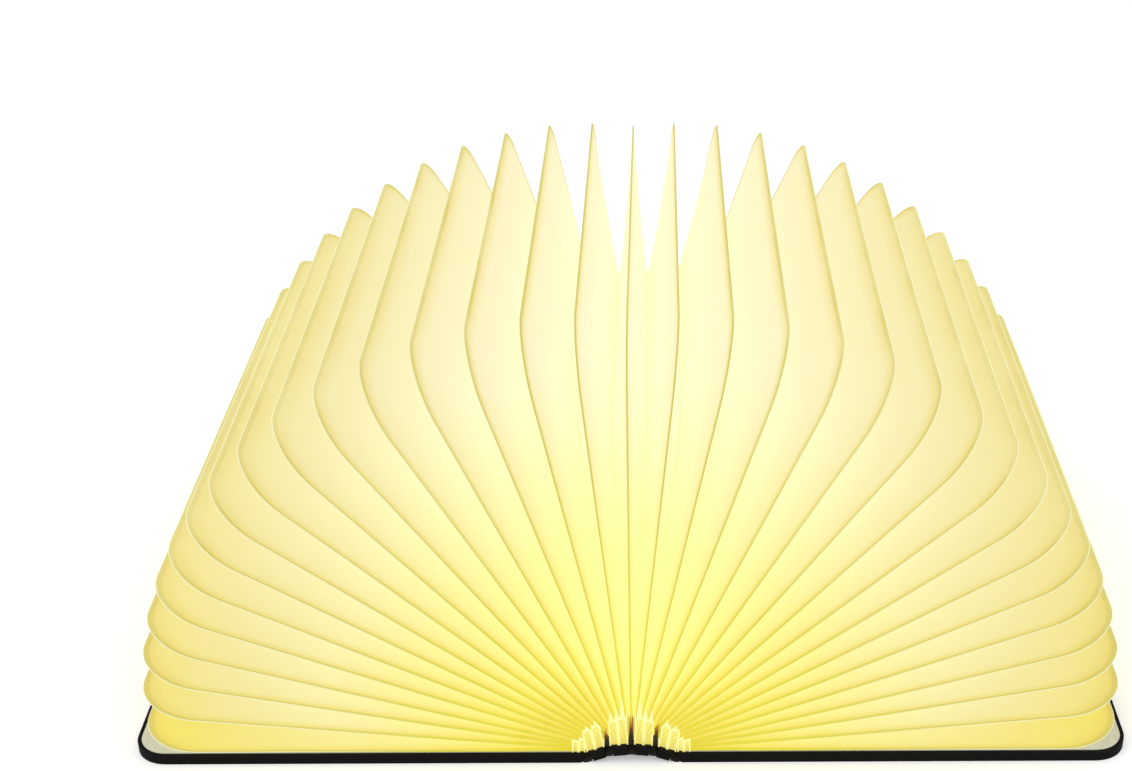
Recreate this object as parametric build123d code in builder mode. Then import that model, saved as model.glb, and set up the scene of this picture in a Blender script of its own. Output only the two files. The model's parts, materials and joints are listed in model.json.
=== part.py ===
import os
from math import atan2, cos, degrees, hypot, pi, radians, sin, tan

from build123d import *

# Folding book lamp, lying open and flat on its two covers.
# X runs across the open book, Y along the spine, Z up. The origin is on the
# surface it lies on, under the middle of the spine.

# Wooden board: covers and lattice spine are cut from one sheet
book_length = 215.0
cover_width = 162.0
board_thickness = 3.6
cover_corner_radius = 12.0
spine_corner_radius = 1.5

# Lattice spine: two slats a side, bending at five lines along Y
slat_pitch = 8.0
inner_rest_tilt = 5.0
outer_rest_tilt = 20.0
bend_clearance = 0.12
top_bevel_angle = 20.5
bottom_bevel_angle = 35.5
tab_width = 4.8
tab_length = 12.0
strut_width = 2.0
node_length = 6.0
node_station = 46.0
waist_width = 4.8
waist_length = 7.0
slit_end_land = 3.0
cover_edge_recess = 1.5

# Paper fan: pleats between the covers, counted from the left cover
pleats_per_side = 16
fan_sag = 3.4
inner_slat_leaf = 4
outer_slat_leaf = 13
root_gap = 0.3
root_half_width = 0.5
leaf_inset = 1.5
leaf_corner_radius = 22.0
crown_drop = 12.5
shoulder_gain = 0.8
fore_band = 62.0
head_band = 30.0
root_band = 8.0
valley_corner_radius = 20.0
fold_depth = 3.0

# Linings glued to the inside of the board
lining_thickness = 0.3
lining_reach = 3.5
pastedown_thickness = 0.25
pastedown_margin = 1.5
seam_gap = 0.2

# Light bar on the middle of the spine
bar_length = 180.0
bar_lift = 0.6
keel_foot_width = 2.0
keel_width = 10.0
keel_slope = 20.0
keel_wall_height = 2.5
strip_width = 8.0
strip_thickness = 1.0
strip_clearance = 0.2
chip_length = 3.5
chip_width = 2.8
chip_height = 0.7
chip_pitch = 10.0
chip_end_margin = 5.0
diffuser_radius = 4.8
diffuser_wall = 0.8
diffuser_foot = 1.0

# Magnets let into the inner face of each cover
magnet_diameter = 10.0
magnet_thickness = 2.0
magnet_clearance = 0.2
magnet_edge_distance = 13.0
magnet_end_distance = 28.0

# Charging electronics in and on the right cover
socket_width = 7.6
socket_height = 2.7
socket_length = 5.8
socket_corner_radius = 0.9
socket_wall = 0.35
socket_tongue_thickness = 0.7
socket_setback = 0.5
socket_clearance = 0.15
pocket_width = 22.0
pocket_length = 45.0
pocket_neck_length = 8.0
board_clearance = 0.4
circuit_thickness = 0.8
circuit_lift = 0.4
component_clearance = 0.3
battery_width = 34.0
battery_length = 50.0
battery_height = 5.2
battery_edge_radius = 1.8
battery_end = 0.0
battery_clearance = 1.5
tape_thickness = 0.8
tape_inset = 3.0
lead_diameter = 1.6
window_width = 8.0
window_length = 6.0
flex_width = 5.0
flex_thickness = 0.15
lead_clearance = 0.1

os.makedirs("parts", exist_ok=True)

left, right = -1, 1
half_length = book_length / 2
half_board = board_thickness / 2
half_pitch = slat_pitch / 2
top_bevel = half_board * tan(radians(top_bevel_angle))
bottom_bevel = half_board * tan(radians(bottom_bevel_angle))


def save(name, builder):
    """Label a finished piece and write it to its own file."""
    builder.part.label = name
    export_step(builder.part, f"parts/{name}.step")


# Bend lines of the spine at rest, as (distance from the middle, height)
rise = slat_pitch * (sin(radians(inner_rest_tilt)) + sin(radians(outer_rest_tilt)))
middle_bend = (0.0, half_board + rise)
slat_bend = (
    slat_pitch * cos(radians(inner_rest_tilt)),
    middle_bend[1] - slat_pitch * sin(radians(inner_rest_tilt)),
)
cover_bend = (slat_bend[0] + slat_pitch * cos(radians(outer_rest_tilt)), half_board)
cover_edge = cover_bend[0] + cover_width


# Lattice slats
def build_slat(side, bend, tilt):
    """One column of the lattice: end tabs, diamond struts and beveled bend nodes."""
    out = Vector(side * cos(radians(tilt)), 0, -sin(radians(tilt)))
    up = Vector(side * sin(radians(tilt)), 0, cos(radians(tilt)))
    centre = Vector(side * bend[0], 0, bend[1]) + out * half_pitch
    inside = -side * half_board
    node_half = half_pitch - bend_clearance
    slit_half = node_half - strut_width
    tab_end = half_length - tab_length
    outline = [
        (tab_width / 2, half_length),
        (tab_width / 2, tab_end),
        (node_half, node_station + node_length / 2),
        (node_half, node_station - node_length / 2),
        (waist_width / 2, waist_length / 2),
    ]
    with BuildPart() as slat:
        with BuildSketch(Plane(centre, x_dir=out, z_dir=Vector(0, 1, 0))) as end_view:
            with BuildLine():
                Polyline(
                    (-node_half, 0),
                    (-node_half + top_bevel, inside),
                    (node_half - top_bevel, inside),
                    (node_half, 0),
                    (node_half - bottom_bevel, -inside),
                    (-node_half + bottom_bevel, -inside),
                    close=True,
                )
            make_face()
        extrude(amount=half_length, both=True)
        with BuildSketch(Plane(centre, x_dir=out, z_dir=up)):
            with BuildLine():
                corner = Polyline(*outline, (waist_width / 2, 0))
                mirror(corner, about=Plane.XZ)
                mirror(about=Plane.YZ)
                Line((-tab_width / 2, half_length), (tab_width / 2, half_length))
                Line((-tab_width / 2, -half_length), (tab_width / 2, -half_length))
            make_face()
            with BuildLine():
                Polyline(
                    (0, tab_end - slit_end_land),
                    (slit_half, node_station + node_length / 2),
                    (slit_half, node_station - node_length / 2),
                    (0, waist_length / 2 + slit_end_land),
                    (-slit_half, node_station - node_length / 2),
                    (-slit_half, node_station + node_length / 2),
                    close=True,
                )
            slit = make_face(mode=Mode.SUBTRACT)
            mirror(slit, about=Plane.XZ, mode=Mode.SUBTRACT)
        extrude(amount=board_thickness, both=True, mode=Mode.INTERSECT)
    return slat


for side, word in ((left, "left"), (right, "right")):
    save(f"{word}_inner_slat", build_slat(side, middle_bend, inner_rest_tilt))
    save(f"{word}_outer_slat", build_slat(side, slat_bend, outer_rest_tilt))


# Covers
magnet_spots = [
    (cover_edge - magnet_edge_distance, half_length - magnet_end_distance),
    (cover_edge - magnet_edge_distance, -half_length + magnet_end_distance),
]
socket_x = cover_bend[0] + cover_width / 2
pocket_end = half_length - pocket_neck_length
pocket_depth = socket_height + 2 * socket_clearance
pocket_floor = board_thickness - pocket_depth


def build_cover(side):
    """Cover board with bend nodes along its spine edge and pockets inside."""
    node_edge = cover_bend[0] + bend_clearance
    plain_edge = cover_bend[0] + cover_edge_recess
    node_root = node_length / 2 + 2 * cover_edge_recess
    with BuildPart() as cover:
        with BuildSketch(Plane.XZ):
            with BuildLine():
                Polyline(
                    (side * node_edge, half_board),
                    (side * (node_edge + top_bevel), board_thickness),
                    (side * cover_edge, board_thickness),
                    (side * cover_edge, 0),
                    (side * (node_edge + bottom_bevel), 0),
                    close=True,
                )
            make_face()
        extrude(amount=half_length, both=True)
        with BuildSketch(Plane.XY):
            with BuildLine():
                edge = Polyline(
                    (side * plain_edge, 0),
                    (side * plain_edge, node_station - node_root),
                    (side * node_edge, node_station - node_length / 2),
                    (side * node_edge, node_station + node_length / 2),
                    (side * plain_edge, node_station + node_root),
                    (side * plain_edge, half_length - spine_corner_radius),
                )
                TangentArc(
                    edge @ 1,
                    (side * (plain_edge + spine_corner_radius), half_length),
                    tangent=(0, 1),
                )
                head = Line(
                    (side * (plain_edge + spine_corner_radius), half_length),
                    (side * (cover_edge - cover_corner_radius), half_length),
                )
                TangentArc(
                    head @ 1,
                    (side * cover_edge, half_length - cover_corner_radius),
                    tangent=(side, 0),
                )
                Line((side * cover_edge, half_length - cover_corner_radius), (side * cover_edge, 0))
                mirror(about=Plane.XZ)
            make_face()
        extrude(amount=board_thickness, mode=Mode.INTERSECT)
        with BuildSketch(Plane.XY.offset(board_thickness)):
            with Locations(*[(side * x, y) for x, y in magnet_spots]):
                Circle(magnet_diameter / 2 + magnet_clearance)
        extrude(amount=-magnet_thickness - magnet_clearance, mode=Mode.SUBTRACT)
        if side == right:
            with BuildSketch(Plane.XY.offset(board_thickness)):
                with Locations((socket_x, pocket_end)):
                    Rectangle(pocket_width, pocket_length, align=(Align.CENTER, Align.MAX))
                with Locations((socket_x, half_length)):
                    Rectangle(
                        socket_width + 2 * board_clearance,
                        pocket_neck_length,
                        align=(Align.CENTER, Align.MAX),
                    )
            extrude(amount=-pocket_depth, mode=Mode.SUBTRACT)
    return cover


save("left_cover", build_cover(left))
save("right_cover", build_cover(right))


# Magnets
def build_magnets(side):
    """Two disc magnets by the fore-edge of one cover."""
    with BuildPart() as magnets:
        with BuildSketch(Plane.XY.offset(board_thickness - magnet_clearance)):
            with Locations(*[(side * x, y) for x, y in magnet_spots]):
                Circle(magnet_diameter / 2)
        extrude(amount=-magnet_thickness)
    return magnets


save("left_magnets", build_magnets(left))
save("right_magnets", build_magnets(right))

# Pastedowns: the paper glued to the inside of each cover
lining_edge = cover_bend[0] + lining_reach
pastedown_start = lining_edge + seam_gap
pastedown_top = board_thickness + pastedown_thickness
window_spot = (socket_x, pocket_end - pocket_length + window_length)


def build_pastedown(side):
    """Sheet that closes the pockets in one cover."""
    width = cover_edge - pastedown_margin - pastedown_start
    with BuildPart() as pastedown:
        with BuildSketch(Plane.XY.offset(board_thickness)) as outline:
            with Locations((side * (pastedown_start + width / 2), 0)):
                Rectangle(width, book_length - 2 * pastedown_margin)
            outer = outline.vertices().sort_by(Axis.X)
            outer = outer[:2] if side == left else outer[-2:]
            fillet(outer, cover_corner_radius - pastedown_margin)
            if side == right:
                with Locations(window_spot):
                    Rectangle(window_width, window_length, mode=Mode.SUBTRACT)
        extrude(amount=pastedown_thickness)
    return pastedown


save("left_pastedown", build_pastedown(left))
save("right_pastedown", build_pastedown(right))


# Spine lining and the flat lead that crosses it
def lifted_line(side, reach, lift):
    """Points along the board's inner face, lifted off it, from the middle outwards."""
    middle = (0.0, middle_bend[1] + (half_board + lift) / cos(radians(inner_rest_tilt)))
    ridge_turn = (outer_rest_tilt - inner_rest_tilt) / 2
    ridge_lean = radians(inner_rest_tilt + ridge_turn)
    ridge_offset = (half_board + lift) / cos(radians(ridge_turn))
    ridge = (
        slat_bend[0] + ridge_offset * sin(ridge_lean),
        slat_bend[1] + ridge_offset * cos(ridge_lean),
    )
    foot_lean = radians(outer_rest_tilt / 2)
    foot_offset = (half_board + lift) / cos(foot_lean)
    foot = (
        cover_bend[0] + foot_offset * sin(foot_lean),
        cover_bend[1] + foot_offset * cos(foot_lean),
    )
    end = (reach, board_thickness + lift)
    return [(side * x, z) for x, z in (middle, ridge, foot, end)]


with BuildPart() as spine_lining:
    with BuildSketch(Plane.XZ):
        with BuildLine():
            lower = lifted_line(left, lining_edge, 0)[::-1] + lifted_line(right, lining_edge, 0)[1:]
            upper = (
                lifted_line(left, lining_edge, lining_thickness)[::-1]
                + lifted_line(right, lining_edge, lining_thickness)[1:]
            )
            Polyline(*lower, *upper[::-1], close=True)
        make_face()
    extrude(amount=half_length - pastedown_margin, both=True)
save("spine_lining", spine_lining)

# Light bar: keel, circuit strip, chips and diffuser
keel_bottom = middle_bend[1] + half_board + bar_lift
keel_shoulder = keel_bottom + (keel_width - keel_foot_width) / 2 * tan(radians(keel_slope))
keel_top = keel_shoulder + keel_wall_height
strip_bottom = keel_top - strip_thickness
strip_length = bar_length - 2 * diffuser_wall - 2 * strip_clearance
chip_room = strip_length - chip_length - 2 * chip_end_margin
chip_count = int(chip_room / chip_pitch) + 1

with BuildPart() as led_keel:
    with BuildSketch(Plane.XZ):
        with BuildLine():
            foot = Polyline(
                (0, keel_bottom),
                (keel_foot_width / 2, keel_bottom),
                (keel_width / 2, keel_shoulder),
                (keel_width / 2, keel_top),
                (strip_width / 2 + strip_clearance, keel_top),
                (strip_width / 2 + strip_clearance, strip_bottom),
                (0, strip_bottom),
            )
            mirror(foot, about=Plane.YZ)
        make_face()
    extrude(amount=bar_length / 2, both=True)
save("led_keel", led_keel)

with BuildPart() as led_strip:
    with BuildSketch(Plane.XY.offset(strip_bottom)):
        Rectangle(strip_width, strip_length)
    extrude(amount=strip_thickness)
save("led_strip", led_strip)

with BuildPart() as led_chips:
    with BuildSketch(Plane.XY.offset(keel_top)):
        with GridLocations(1, chip_pitch, 1, chip_count):
            Rectangle(chip_width, chip_length)
    extrude(amount=chip_height)
save("led_chips", led_chips)

with BuildPart() as led_diffuser:
    for radius, reach, mode in (
        (diffuser_radius, bar_length / 2, Mode.ADD),
        (diffuser_radius - diffuser_wall, bar_length / 2 - diffuser_wall, Mode.SUBTRACT),
    ):
        with BuildSketch(Plane.XZ):
            with BuildLine():
                dome = CenterArc((0, keel_top + diffuser_foot), radius, 0, 180)
                Polyline(dome @ 1, (-radius, keel_top), (radius, keel_top), dome @ 0)
            make_face()
        extrude(amount=reach, both=True, mode=mode)
save("led_diffuser", led_diffuser)

# Charging electronics
circuit_bottom = pocket_floor + circuit_lift
circuit_top = circuit_bottom + circuit_thickness
sensor_height = pocket_depth - circuit_lift - circuit_thickness - component_clearance
socket_front = half_length - socket_setback
socket_back = socket_front - socket_length
board_start = pocket_end - board_clearance
tongue_length = socket_back - board_clearance - board_start
circuit_length = pocket_length - board_clearance

with BuildPart() as circuit_board:
    with BuildSketch(Plane.XY.offset(circuit_bottom)):
        with Locations((socket_x, board_start)):
            Rectangle(
                pocket_width - 2 * board_clearance,
                pocket_length - 2 * board_clearance,
                align=(Align.CENTER, Align.MAX),
            )
            Rectangle(socket_width, tongue_length, align=(Align.CENTER, Align.MIN))
    extrude(amount=circuit_thickness)
    with BuildSketch(Plane.XY.offset(pocket_floor)):
        with Locations((socket_x, pocket_end - pocket_length / 2)):
            with GridLocations(pocket_width - 6, pocket_length - 6, 2, 2):
                Circle(1.0)
    extrude(amount=circuit_lift)
save("circuit_board", circuit_board)

with BuildPart() as circuit_parts:
    with BuildSketch(Plane.XY.offset(circuit_top)):
        with Locations((socket_x - 4, board_start - 8)):
            Rectangle(4.0, 4.0)
        with Locations((socket_x + 4.5, board_start - 8)):
            Rectangle(5.0, 5.0)
        with Locations((socket_x, board_start - 16)):
            with GridLocations(4.0, 3.0, 3, 2):
                Rectangle(1.6, 0.8)
    extrude(amount=sensor_height - component_clearance)
save("circuit_parts", circuit_parts)

with BuildPart() as fold_sensor:
    with BuildSketch(Plane.XY.offset(circuit_top)):
        with Locations((socket_x - 5, board_start - 24)):
            Rectangle(4.0, 3.0)
    extrude(amount=sensor_height)
save("fold_sensor", fold_sensor)

socket_mouth = Plane(
    (socket_x, socket_front, pocket_floor + pocket_depth / 2),
    x_dir=(1, 0, 0),
    z_dir=(0, 1, 0),
)

with BuildPart() as charge_socket:
    with BuildSketch(socket_mouth):
        RectangleRounded(socket_width, socket_height, socket_corner_radius)
    extrude(amount=-socket_length)
    with BuildSketch(socket_mouth):
        RectangleRounded(
            socket_width - 2 * socket_wall,
            socket_height - 2 * socket_wall,
            socket_corner_radius - socket_wall,
        )
        Rectangle(socket_width / 2, socket_tongue_thickness, mode=Mode.SUBTRACT)
    extrude(amount=socket_wall - socket_length, mode=Mode.SUBTRACT)
save("charge_socket", charge_socket)

valley_edge = cover_edge - leaf_inset - fore_band - fold_depth
battery_x = valley_edge - battery_clearance - battery_width / 2
battery_centre = (battery_x, battery_end - battery_length / 2)

with BuildPart() as battery_tape:
    with BuildSketch(Plane.XY.offset(pastedown_top)):
        with Locations(battery_centre):
            Rectangle(battery_width - 2 * tape_inset, battery_length - 2 * tape_inset)
    extrude(amount=tape_thickness)
save("battery_tape", battery_tape)

with BuildPart() as battery:
    with BuildSketch(Plane.XY.offset(pastedown_top + tape_thickness)):
        with Locations(battery_centre):
            Rectangle(battery_width, battery_length)
    extrude(amount=battery_height)
    fillet(battery.edges().filter_by(Axis.Y), battery_edge_radius)
save("battery", battery)

lead_height = pastedown_top + tape_thickness + battery_height / 2
lead_floor = pastedown_top + lead_diameter / 2 + lead_clearance
lead_bend = 2 * lead_diameter

with BuildPart() as battery_lead:
    with BuildLine():
        lead_path = FilletPolyline(
            (battery_x, battery_end, lead_height),
            (battery_x, battery_end + 2 * lead_bend, lead_height),
            (battery_x, battery_end + 4 * lead_bend, lead_floor),
            (*window_spot, lead_floor),
            (*window_spot, circuit_top),
            radius=[lead_bend, lead_bend, lead_diameter],
        )
    with BuildSketch(Plane(lead_path @ 0, z_dir=lead_path % 0)):
        Circle(lead_diameter / 2)
    sweep()
save("battery_lead", battery_lead)

# The flat lead ends in the window, beside the battery's lead
flex_lift = lining_thickness + lead_clearance
flex_end = window_spot[0] - window_width / 2 + 1.0

with BuildPart() as led_flex:
    with BuildSketch(Plane.XZ.offset(-window_spot[1])):
        with BuildLine():
            low = lifted_line(right, flex_end, flex_lift)[1:]
            high = lifted_line(right, flex_end + flex_thickness, flex_lift + flex_thickness)[1:]
            drop = [(flex_end, circuit_top), (flex_end + flex_thickness, circuit_top)]
            Polyline(*low, *drop, *high[::-1], close=True)
        make_face()
    extrude(amount=flex_width / 2, both=True)
save("led_flex", led_flex)


# Paper fan: every leaf is a ridge fold, drawn by its fold line in a plane of
# its own, and shares a valley fold with each neighbour half-way between them.
# The leaves are counted in steps from the middle. One leaf on each slat is glued
# upright to it and sets how far that slat turns until the book is shut.
def leaf_lean(step):
    """Angle of a leaf over the horizontal, at rest, in degrees."""
    share = 1 - step / pleats_per_side
    return 90 * share - fan_sag * sin(pi * share) ** 2


root_height = half_board + lining_thickness + root_gap
inner_shut_tilt = 90 - leaf_lean(inner_slat_leaf) - inner_rest_tilt
outer_shut_tilt = 90 - leaf_lean(outer_slat_leaf) - outer_rest_tilt
slat_shut = slat_pitch * cos(radians(inner_shut_tilt))
cover_shut = slat_shut + slat_pitch * cos(radians(outer_shut_tilt))


def leaf_bend(step):
    """Bend line that a leaf turns about at rest, and its distance from the middle when shut."""
    if step <= inner_slat_leaf:
        return middle_bend, 0.0
    if step <= outer_slat_leaf:
        return slat_bend, slat_shut
    return cover_bend, cover_shut


class LeafLine:
    """One leaf seen along the spine, placed so that the shut book stacks them evenly."""

    def __init__(self, number):
        step = abs(number - pleats_per_side)
        side = left if number < pleats_per_side else right
        lean = radians(leaf_lean(step))
        bend, shut = leaf_bend(step)
        inset = shut - (cover_shut - root_height) * step / pleats_per_side
        foot = (bend[0] - inset * sin(lean), bend[1] + inset * cos(lean))
        self.angle = radians(90) + side * (radians(90) - lean)
        self.along = (-cos(self.angle), sin(self.angle))
        self.across = (sin(self.angle), cos(self.angle))
        self.origin = (side * foot[0], foot[1])
        self.root = min(
            (root_height - (foot[0] - bend[0]) * sin(tilt) - (foot[1] - bend[1]) * cos(tilt))
            / sin(lean + tilt)
            for bend, tilt in (
                (middle_bend, radians(inner_rest_tilt)),
                (slat_bend, radians(outer_rest_tilt)),
            )
        )

    def crossing(self, other):
        """Distance along this leaf, from its origin, to where the other one crosses it."""
        turn = sin(self.angle - other.angle)
        dx = other.origin[0] - self.origin[0]
        dz = other.origin[1] - self.origin[1]
        return (dx * other.along[1] - dz * other.along[0]) / turn

    def slide(self, distance):
        """Move the point that distances are measured from along the leaf."""
        self.origin = tuple(self.origin[i] + distance * self.along[i] for i in (0, 1))
        self.root -= distance


# Distances along the leaves count from origins that lie equally far from the
# point where neighbours cross, so that neighbours meet in their valley folds.
leaf_total = 2 * pleats_per_side + 1
leaves = [LeafLine(number) for number in range(leaf_total)]
for step in range(1, pleats_per_side + 1):
    for number, inner in (
        (pleats_per_side - step, pleats_per_side - step + 1),
        (pleats_per_side + step, pleats_per_side + step - 1),
    ):
        reach = leaves[inner].crossing(leaves[number])
        leaves[number].slide(leaves[number].crossing(leaves[inner]) - reach)

leaf_reach = cover_edge - leaf_inset - abs(leaves[0].origin[0])
leaf_half_length = half_length - leaf_inset
valley_reach = leaf_reach - fore_band


def ridge_reach(step):
    """Distance to the fore-edge fold: the fan is flatter on top than a circle."""
    share = step / pleats_per_side
    return leaf_reach - crown_drop * (1 - share) ** 2.5 + shoulder_gain * sin(pi * share**2)


def fold_stations(root_at, reach):
    """Ridge point and valley point at each station along one leaf's U-shaped fold."""
    ridge_centre = (reach - leaf_corner_radius, leaf_half_length - leaf_corner_radius)
    valley_centre = (
        valley_reach - valley_corner_radius,
        leaf_half_length - head_band - valley_corner_radius,
    )
    half = [((root_at, leaf_half_length), (root_at, leaf_half_length - root_band))]
    for turn in (0, 30, 60, 90):
        part = (sin(radians(turn)), cos(radians(turn)))
        ridge = [ridge_centre[i] + leaf_corner_radius * part[i] for i in (0, 1)]
        valley = [valley_centre[i] + valley_corner_radius * part[i] for i in (0, 1)]
        half.append((tuple(ridge), tuple(valley)))
    other_half = [((ridge[0], -ridge[1]), (valley[0], -valley[1])) for ridge, valley in half[::-1]]
    return half + other_half


def build_leaf(number):
    """Thin folded leaf: two flanks that run from the ridge fold to its valleys."""
    leaf = leaves[number]
    reach = ridge_reach(abs(number - pleats_per_side))
    spreads = []
    for other in (number - 1, number + 1):
        if 0 <= other < leaf_total:
            turn = abs(leaves[other].angle - leaf.angle) / 2
            spreads.append((leaf.crossing(leaves[other]), tan(turn)))
        else:
            spreads.append(None)
    root_at = leaf.root
    for spread in spreads:
        if spread is not None:
            root_at = max(root_at, spread[0] + root_half_width / spread[1])
    across = Vector(leaf.across[0], 0, leaf.across[1])
    with BuildPart() as folded:
        for ridge, valley in fold_stations(root_at, reach):
            depth = hypot(valley[0] - ridge[0], valley[1] - ridge[1])
            inward = ((valley[0] - ridge[0]) / depth, (valley[1] - ridge[1]) / depth)
            corners = [(0, 0)]
            for sign, spread in ((1, spreads[1]), (-1, spreads[0])):
                if spread is None:
                    continue
                valley_line = [
                    (at, sign * spread[1] * (ridge[0] + at * inward[0] - spread[0]))
                    for at in (depth, depth + fold_depth)
                ]
                if sign > 0:
                    corners += valley_line + [(fold_depth, 0)]
                else:
                    corners += [(fold_depth, 0)] * (len(corners) == 1) + valley_line[::-1]
            start = Vector(
                leaf.origin[0] + ridge[0] * leaf.along[0],
                ridge[1],
                leaf.origin[1] + ridge[0] * leaf.along[1],
            )
            heading = Vector(inward[0] * leaf.along[0], inward[1], inward[0] * leaf.along[1])
            with BuildSketch(Plane(start, x_dir=heading, z_dir=heading.cross(across))):
                with BuildLine():
                    Polyline(*corners, close=True)
                make_face()
        loft(ruled=True)
    return folded


save("end_leaf_left", build_leaf(0))
for number in range(1, leaf_total - 1):
    save(f"leaf_{number:02d}", build_leaf(number))
save("end_leaf_right", build_leaf(leaf_total - 1))

print("cover edge", round(cover_edge, 3), "leaf reach", round(leaf_reach, 3))
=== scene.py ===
import json
import math

import bpy
import numpy as np
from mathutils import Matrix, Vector


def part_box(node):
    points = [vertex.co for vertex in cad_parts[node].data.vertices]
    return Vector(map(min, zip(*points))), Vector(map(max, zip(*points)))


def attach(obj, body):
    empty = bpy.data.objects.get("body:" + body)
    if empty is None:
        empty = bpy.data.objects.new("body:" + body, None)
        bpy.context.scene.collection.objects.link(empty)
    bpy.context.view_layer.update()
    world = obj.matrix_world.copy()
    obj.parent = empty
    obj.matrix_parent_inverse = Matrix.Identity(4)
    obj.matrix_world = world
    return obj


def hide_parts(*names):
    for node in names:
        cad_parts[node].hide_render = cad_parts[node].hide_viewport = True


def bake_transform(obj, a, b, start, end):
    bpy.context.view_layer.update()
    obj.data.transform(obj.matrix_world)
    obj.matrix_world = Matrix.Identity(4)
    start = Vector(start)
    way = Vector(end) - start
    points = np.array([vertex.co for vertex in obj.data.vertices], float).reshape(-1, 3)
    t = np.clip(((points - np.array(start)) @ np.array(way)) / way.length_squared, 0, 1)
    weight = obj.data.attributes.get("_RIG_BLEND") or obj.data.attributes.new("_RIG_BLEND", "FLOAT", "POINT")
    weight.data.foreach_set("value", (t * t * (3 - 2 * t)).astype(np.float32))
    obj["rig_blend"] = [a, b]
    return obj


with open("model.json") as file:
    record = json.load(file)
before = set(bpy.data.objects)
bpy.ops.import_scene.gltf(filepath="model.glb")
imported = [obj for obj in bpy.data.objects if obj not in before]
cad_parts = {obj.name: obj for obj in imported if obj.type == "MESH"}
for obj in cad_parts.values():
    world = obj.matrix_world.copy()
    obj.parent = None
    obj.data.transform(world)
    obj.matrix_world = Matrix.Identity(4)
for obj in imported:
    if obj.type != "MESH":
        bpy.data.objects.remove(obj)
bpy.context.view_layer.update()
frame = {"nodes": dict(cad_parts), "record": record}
nodes = frame["nodes"]
bodyOf = {node: body for body, held in frame["record"]["behaviour"]["bodies"].items() for node in held}
mm = 0.001  # the fan and the strips are worked out in millimetres
sideWord = {-1: "left", 1: "right"}


def paint(red, green, blue):
    # screen colour to linear light: each channel divided by 255, then the standard curve
    value = np.array([red, green, blue], float) / 255
    linear = np.where(value <= 0.04045, value / 12.92, ((value + 0.055) / 1.055) ** 2.4)
    return (*linear.tolist(), 1.0)


def tints(*stops):
    # stops of a colour ramp, each given as its position and its screen colour
    return [(position, paint(*colour)) for position, *colour in stops]


def newFinish(name):
    finish = bpy.data.materials.new(name)
    finish.use_nodes = True
    tree = finish.node_tree
    return finish, tree, tree.nodes["Principled BSDF"]


def feed(tree, socket, value):
    # an output is linked to the socket, a plain value is set on it
    if isinstance(value, bpy.types.NodeSocket):
        tree.links.new(value, socket)
    else:
        socket.default_value = value


def addNode(tree, kind, settings=None, inputs=None):
    node = tree.nodes.new(kind)
    for key, value in (settings or {}).items():
        setattr(node, key, value)
    for key, value in (inputs or {}).items():
        feed(tree, node.inputs[key], value)
    return node


def setInputs(tree, shader, **values):
    # inputs by name, with _ for each space
    for name, value in values.items():
        feed(tree, shader.inputs[name.replace("_", " ")], value)


def objectPlace(tree, scale=(1, 1, 1)):
    place = addNode(tree, "ShaderNodeTexCoord").outputs["Object"]
    return addNode(tree, "ShaderNodeMapping", inputs={"Vector": place, "Scale": scale}).outputs[0]


def attribute(tree, name):
    return addNode(tree, "ShaderNodeAttribute", {"attribute_name": name}).outputs["Fac"]


def noise(tree, place, scale, detail=4.0, roughness=0.55, distortion=0.0):
    inputs = dict(Vector=place, Scale=scale, Detail=detail, Roughness=roughness, Distortion=distortion)
    return addNode(tree, "ShaderNodeTexNoise", inputs=inputs).outputs["Fac"]


def ramp(tree, factor, stops):
    node = addNode(tree, "ShaderNodeValToRGB", inputs={"Fac": factor})
    while len(node.color_ramp.elements) < len(stops):
        node.color_ramp.elements.new(0.5)
    for element, (position, colour) in zip(node.color_ramp.elements, stops):
        element.position = position
        element.color = colour
    return node.outputs["Color"]


def mixColour(tree, factor, first, second, blendType="MIX"):
    # a Mix node's colour sockets are inputs 6 and 7 and output 2
    settings = {"data_type": "RGBA", "blend_type": blendType}
    return addNode(tree, "ShaderNodeMix", settings, {0: factor, 6: first, 7: second}).outputs[2]


def calc(tree, operation, first, second=0.0, third=0.0, clamp=False):
    settings = {"operation": operation, "use_clamp": clamp}
    return addNode(tree, "ShaderNodeMath", settings, {0: first, 1: second, 2: third}).outputs[0]


def product(tree, *factors):
    result = factors[0]
    for factor in factors[1:]:
        result = calc(tree, "MULTIPLY", result, factor)
    return result


def rise(tree, value, zeroAt, oneAt):
    # how far the value has come from zeroAt to oneAt, held between 0 and 1
    gain = 1 / (oneAt - zeroAt)
    return calc(tree, "MULTIPLY_ADD", value, gain, -zeroAt * gain, clamp=True)


def bump(tree, shader, height, strength, distance):
    inputs = dict(Height=height, Strength=strength, Distance=distance)
    setInputs(tree, shader, Normal=addNode(tree, "ShaderNodeBump", inputs=inputs).outputs[0])


def dress(finish, *names):
    for name in names:
        mesh = nodes[name].data
        mesh.materials.clear()
        mesh.materials.append(finish)


# Walnut board: long grain along the spine, dark pores, paler streaks, laser-burnt edges
walnut = dict(
    streakTints=tints((0.32, 122, 94, 84), (0.5, 168, 136, 125), (0.68, 204, 176, 166)),
    dark=paint(122, 94, 84), pore=paint(78, 56, 49), burnt=paint(5, 3, 2),
    grainStretch=0.045, streaks=dict(scale=34.0, detail=5, roughness=0.6, distortion=0.6),
    fibres=dict(scale=450.0, detail=6, roughness=0.7), fibreShare=0.55,
    poreStretch=0.02, pores=dict(scale=1050.0, detail=2, roughness=0.5), poreLevel=0.62, poreShare=0.5,
    cornerRadius=0.012, burnReach=(0.0024, 0.00131), uprightLevel=0.72,
    slatHalfWidth=1.0,  # far wider than a slat, which is burnt only on its cut faces and ends
    roughness=0.38, roughnessSpread=0.25, specular=0.25, bumpStrength=0.35, bumpHeight=0.0002,
)


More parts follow.
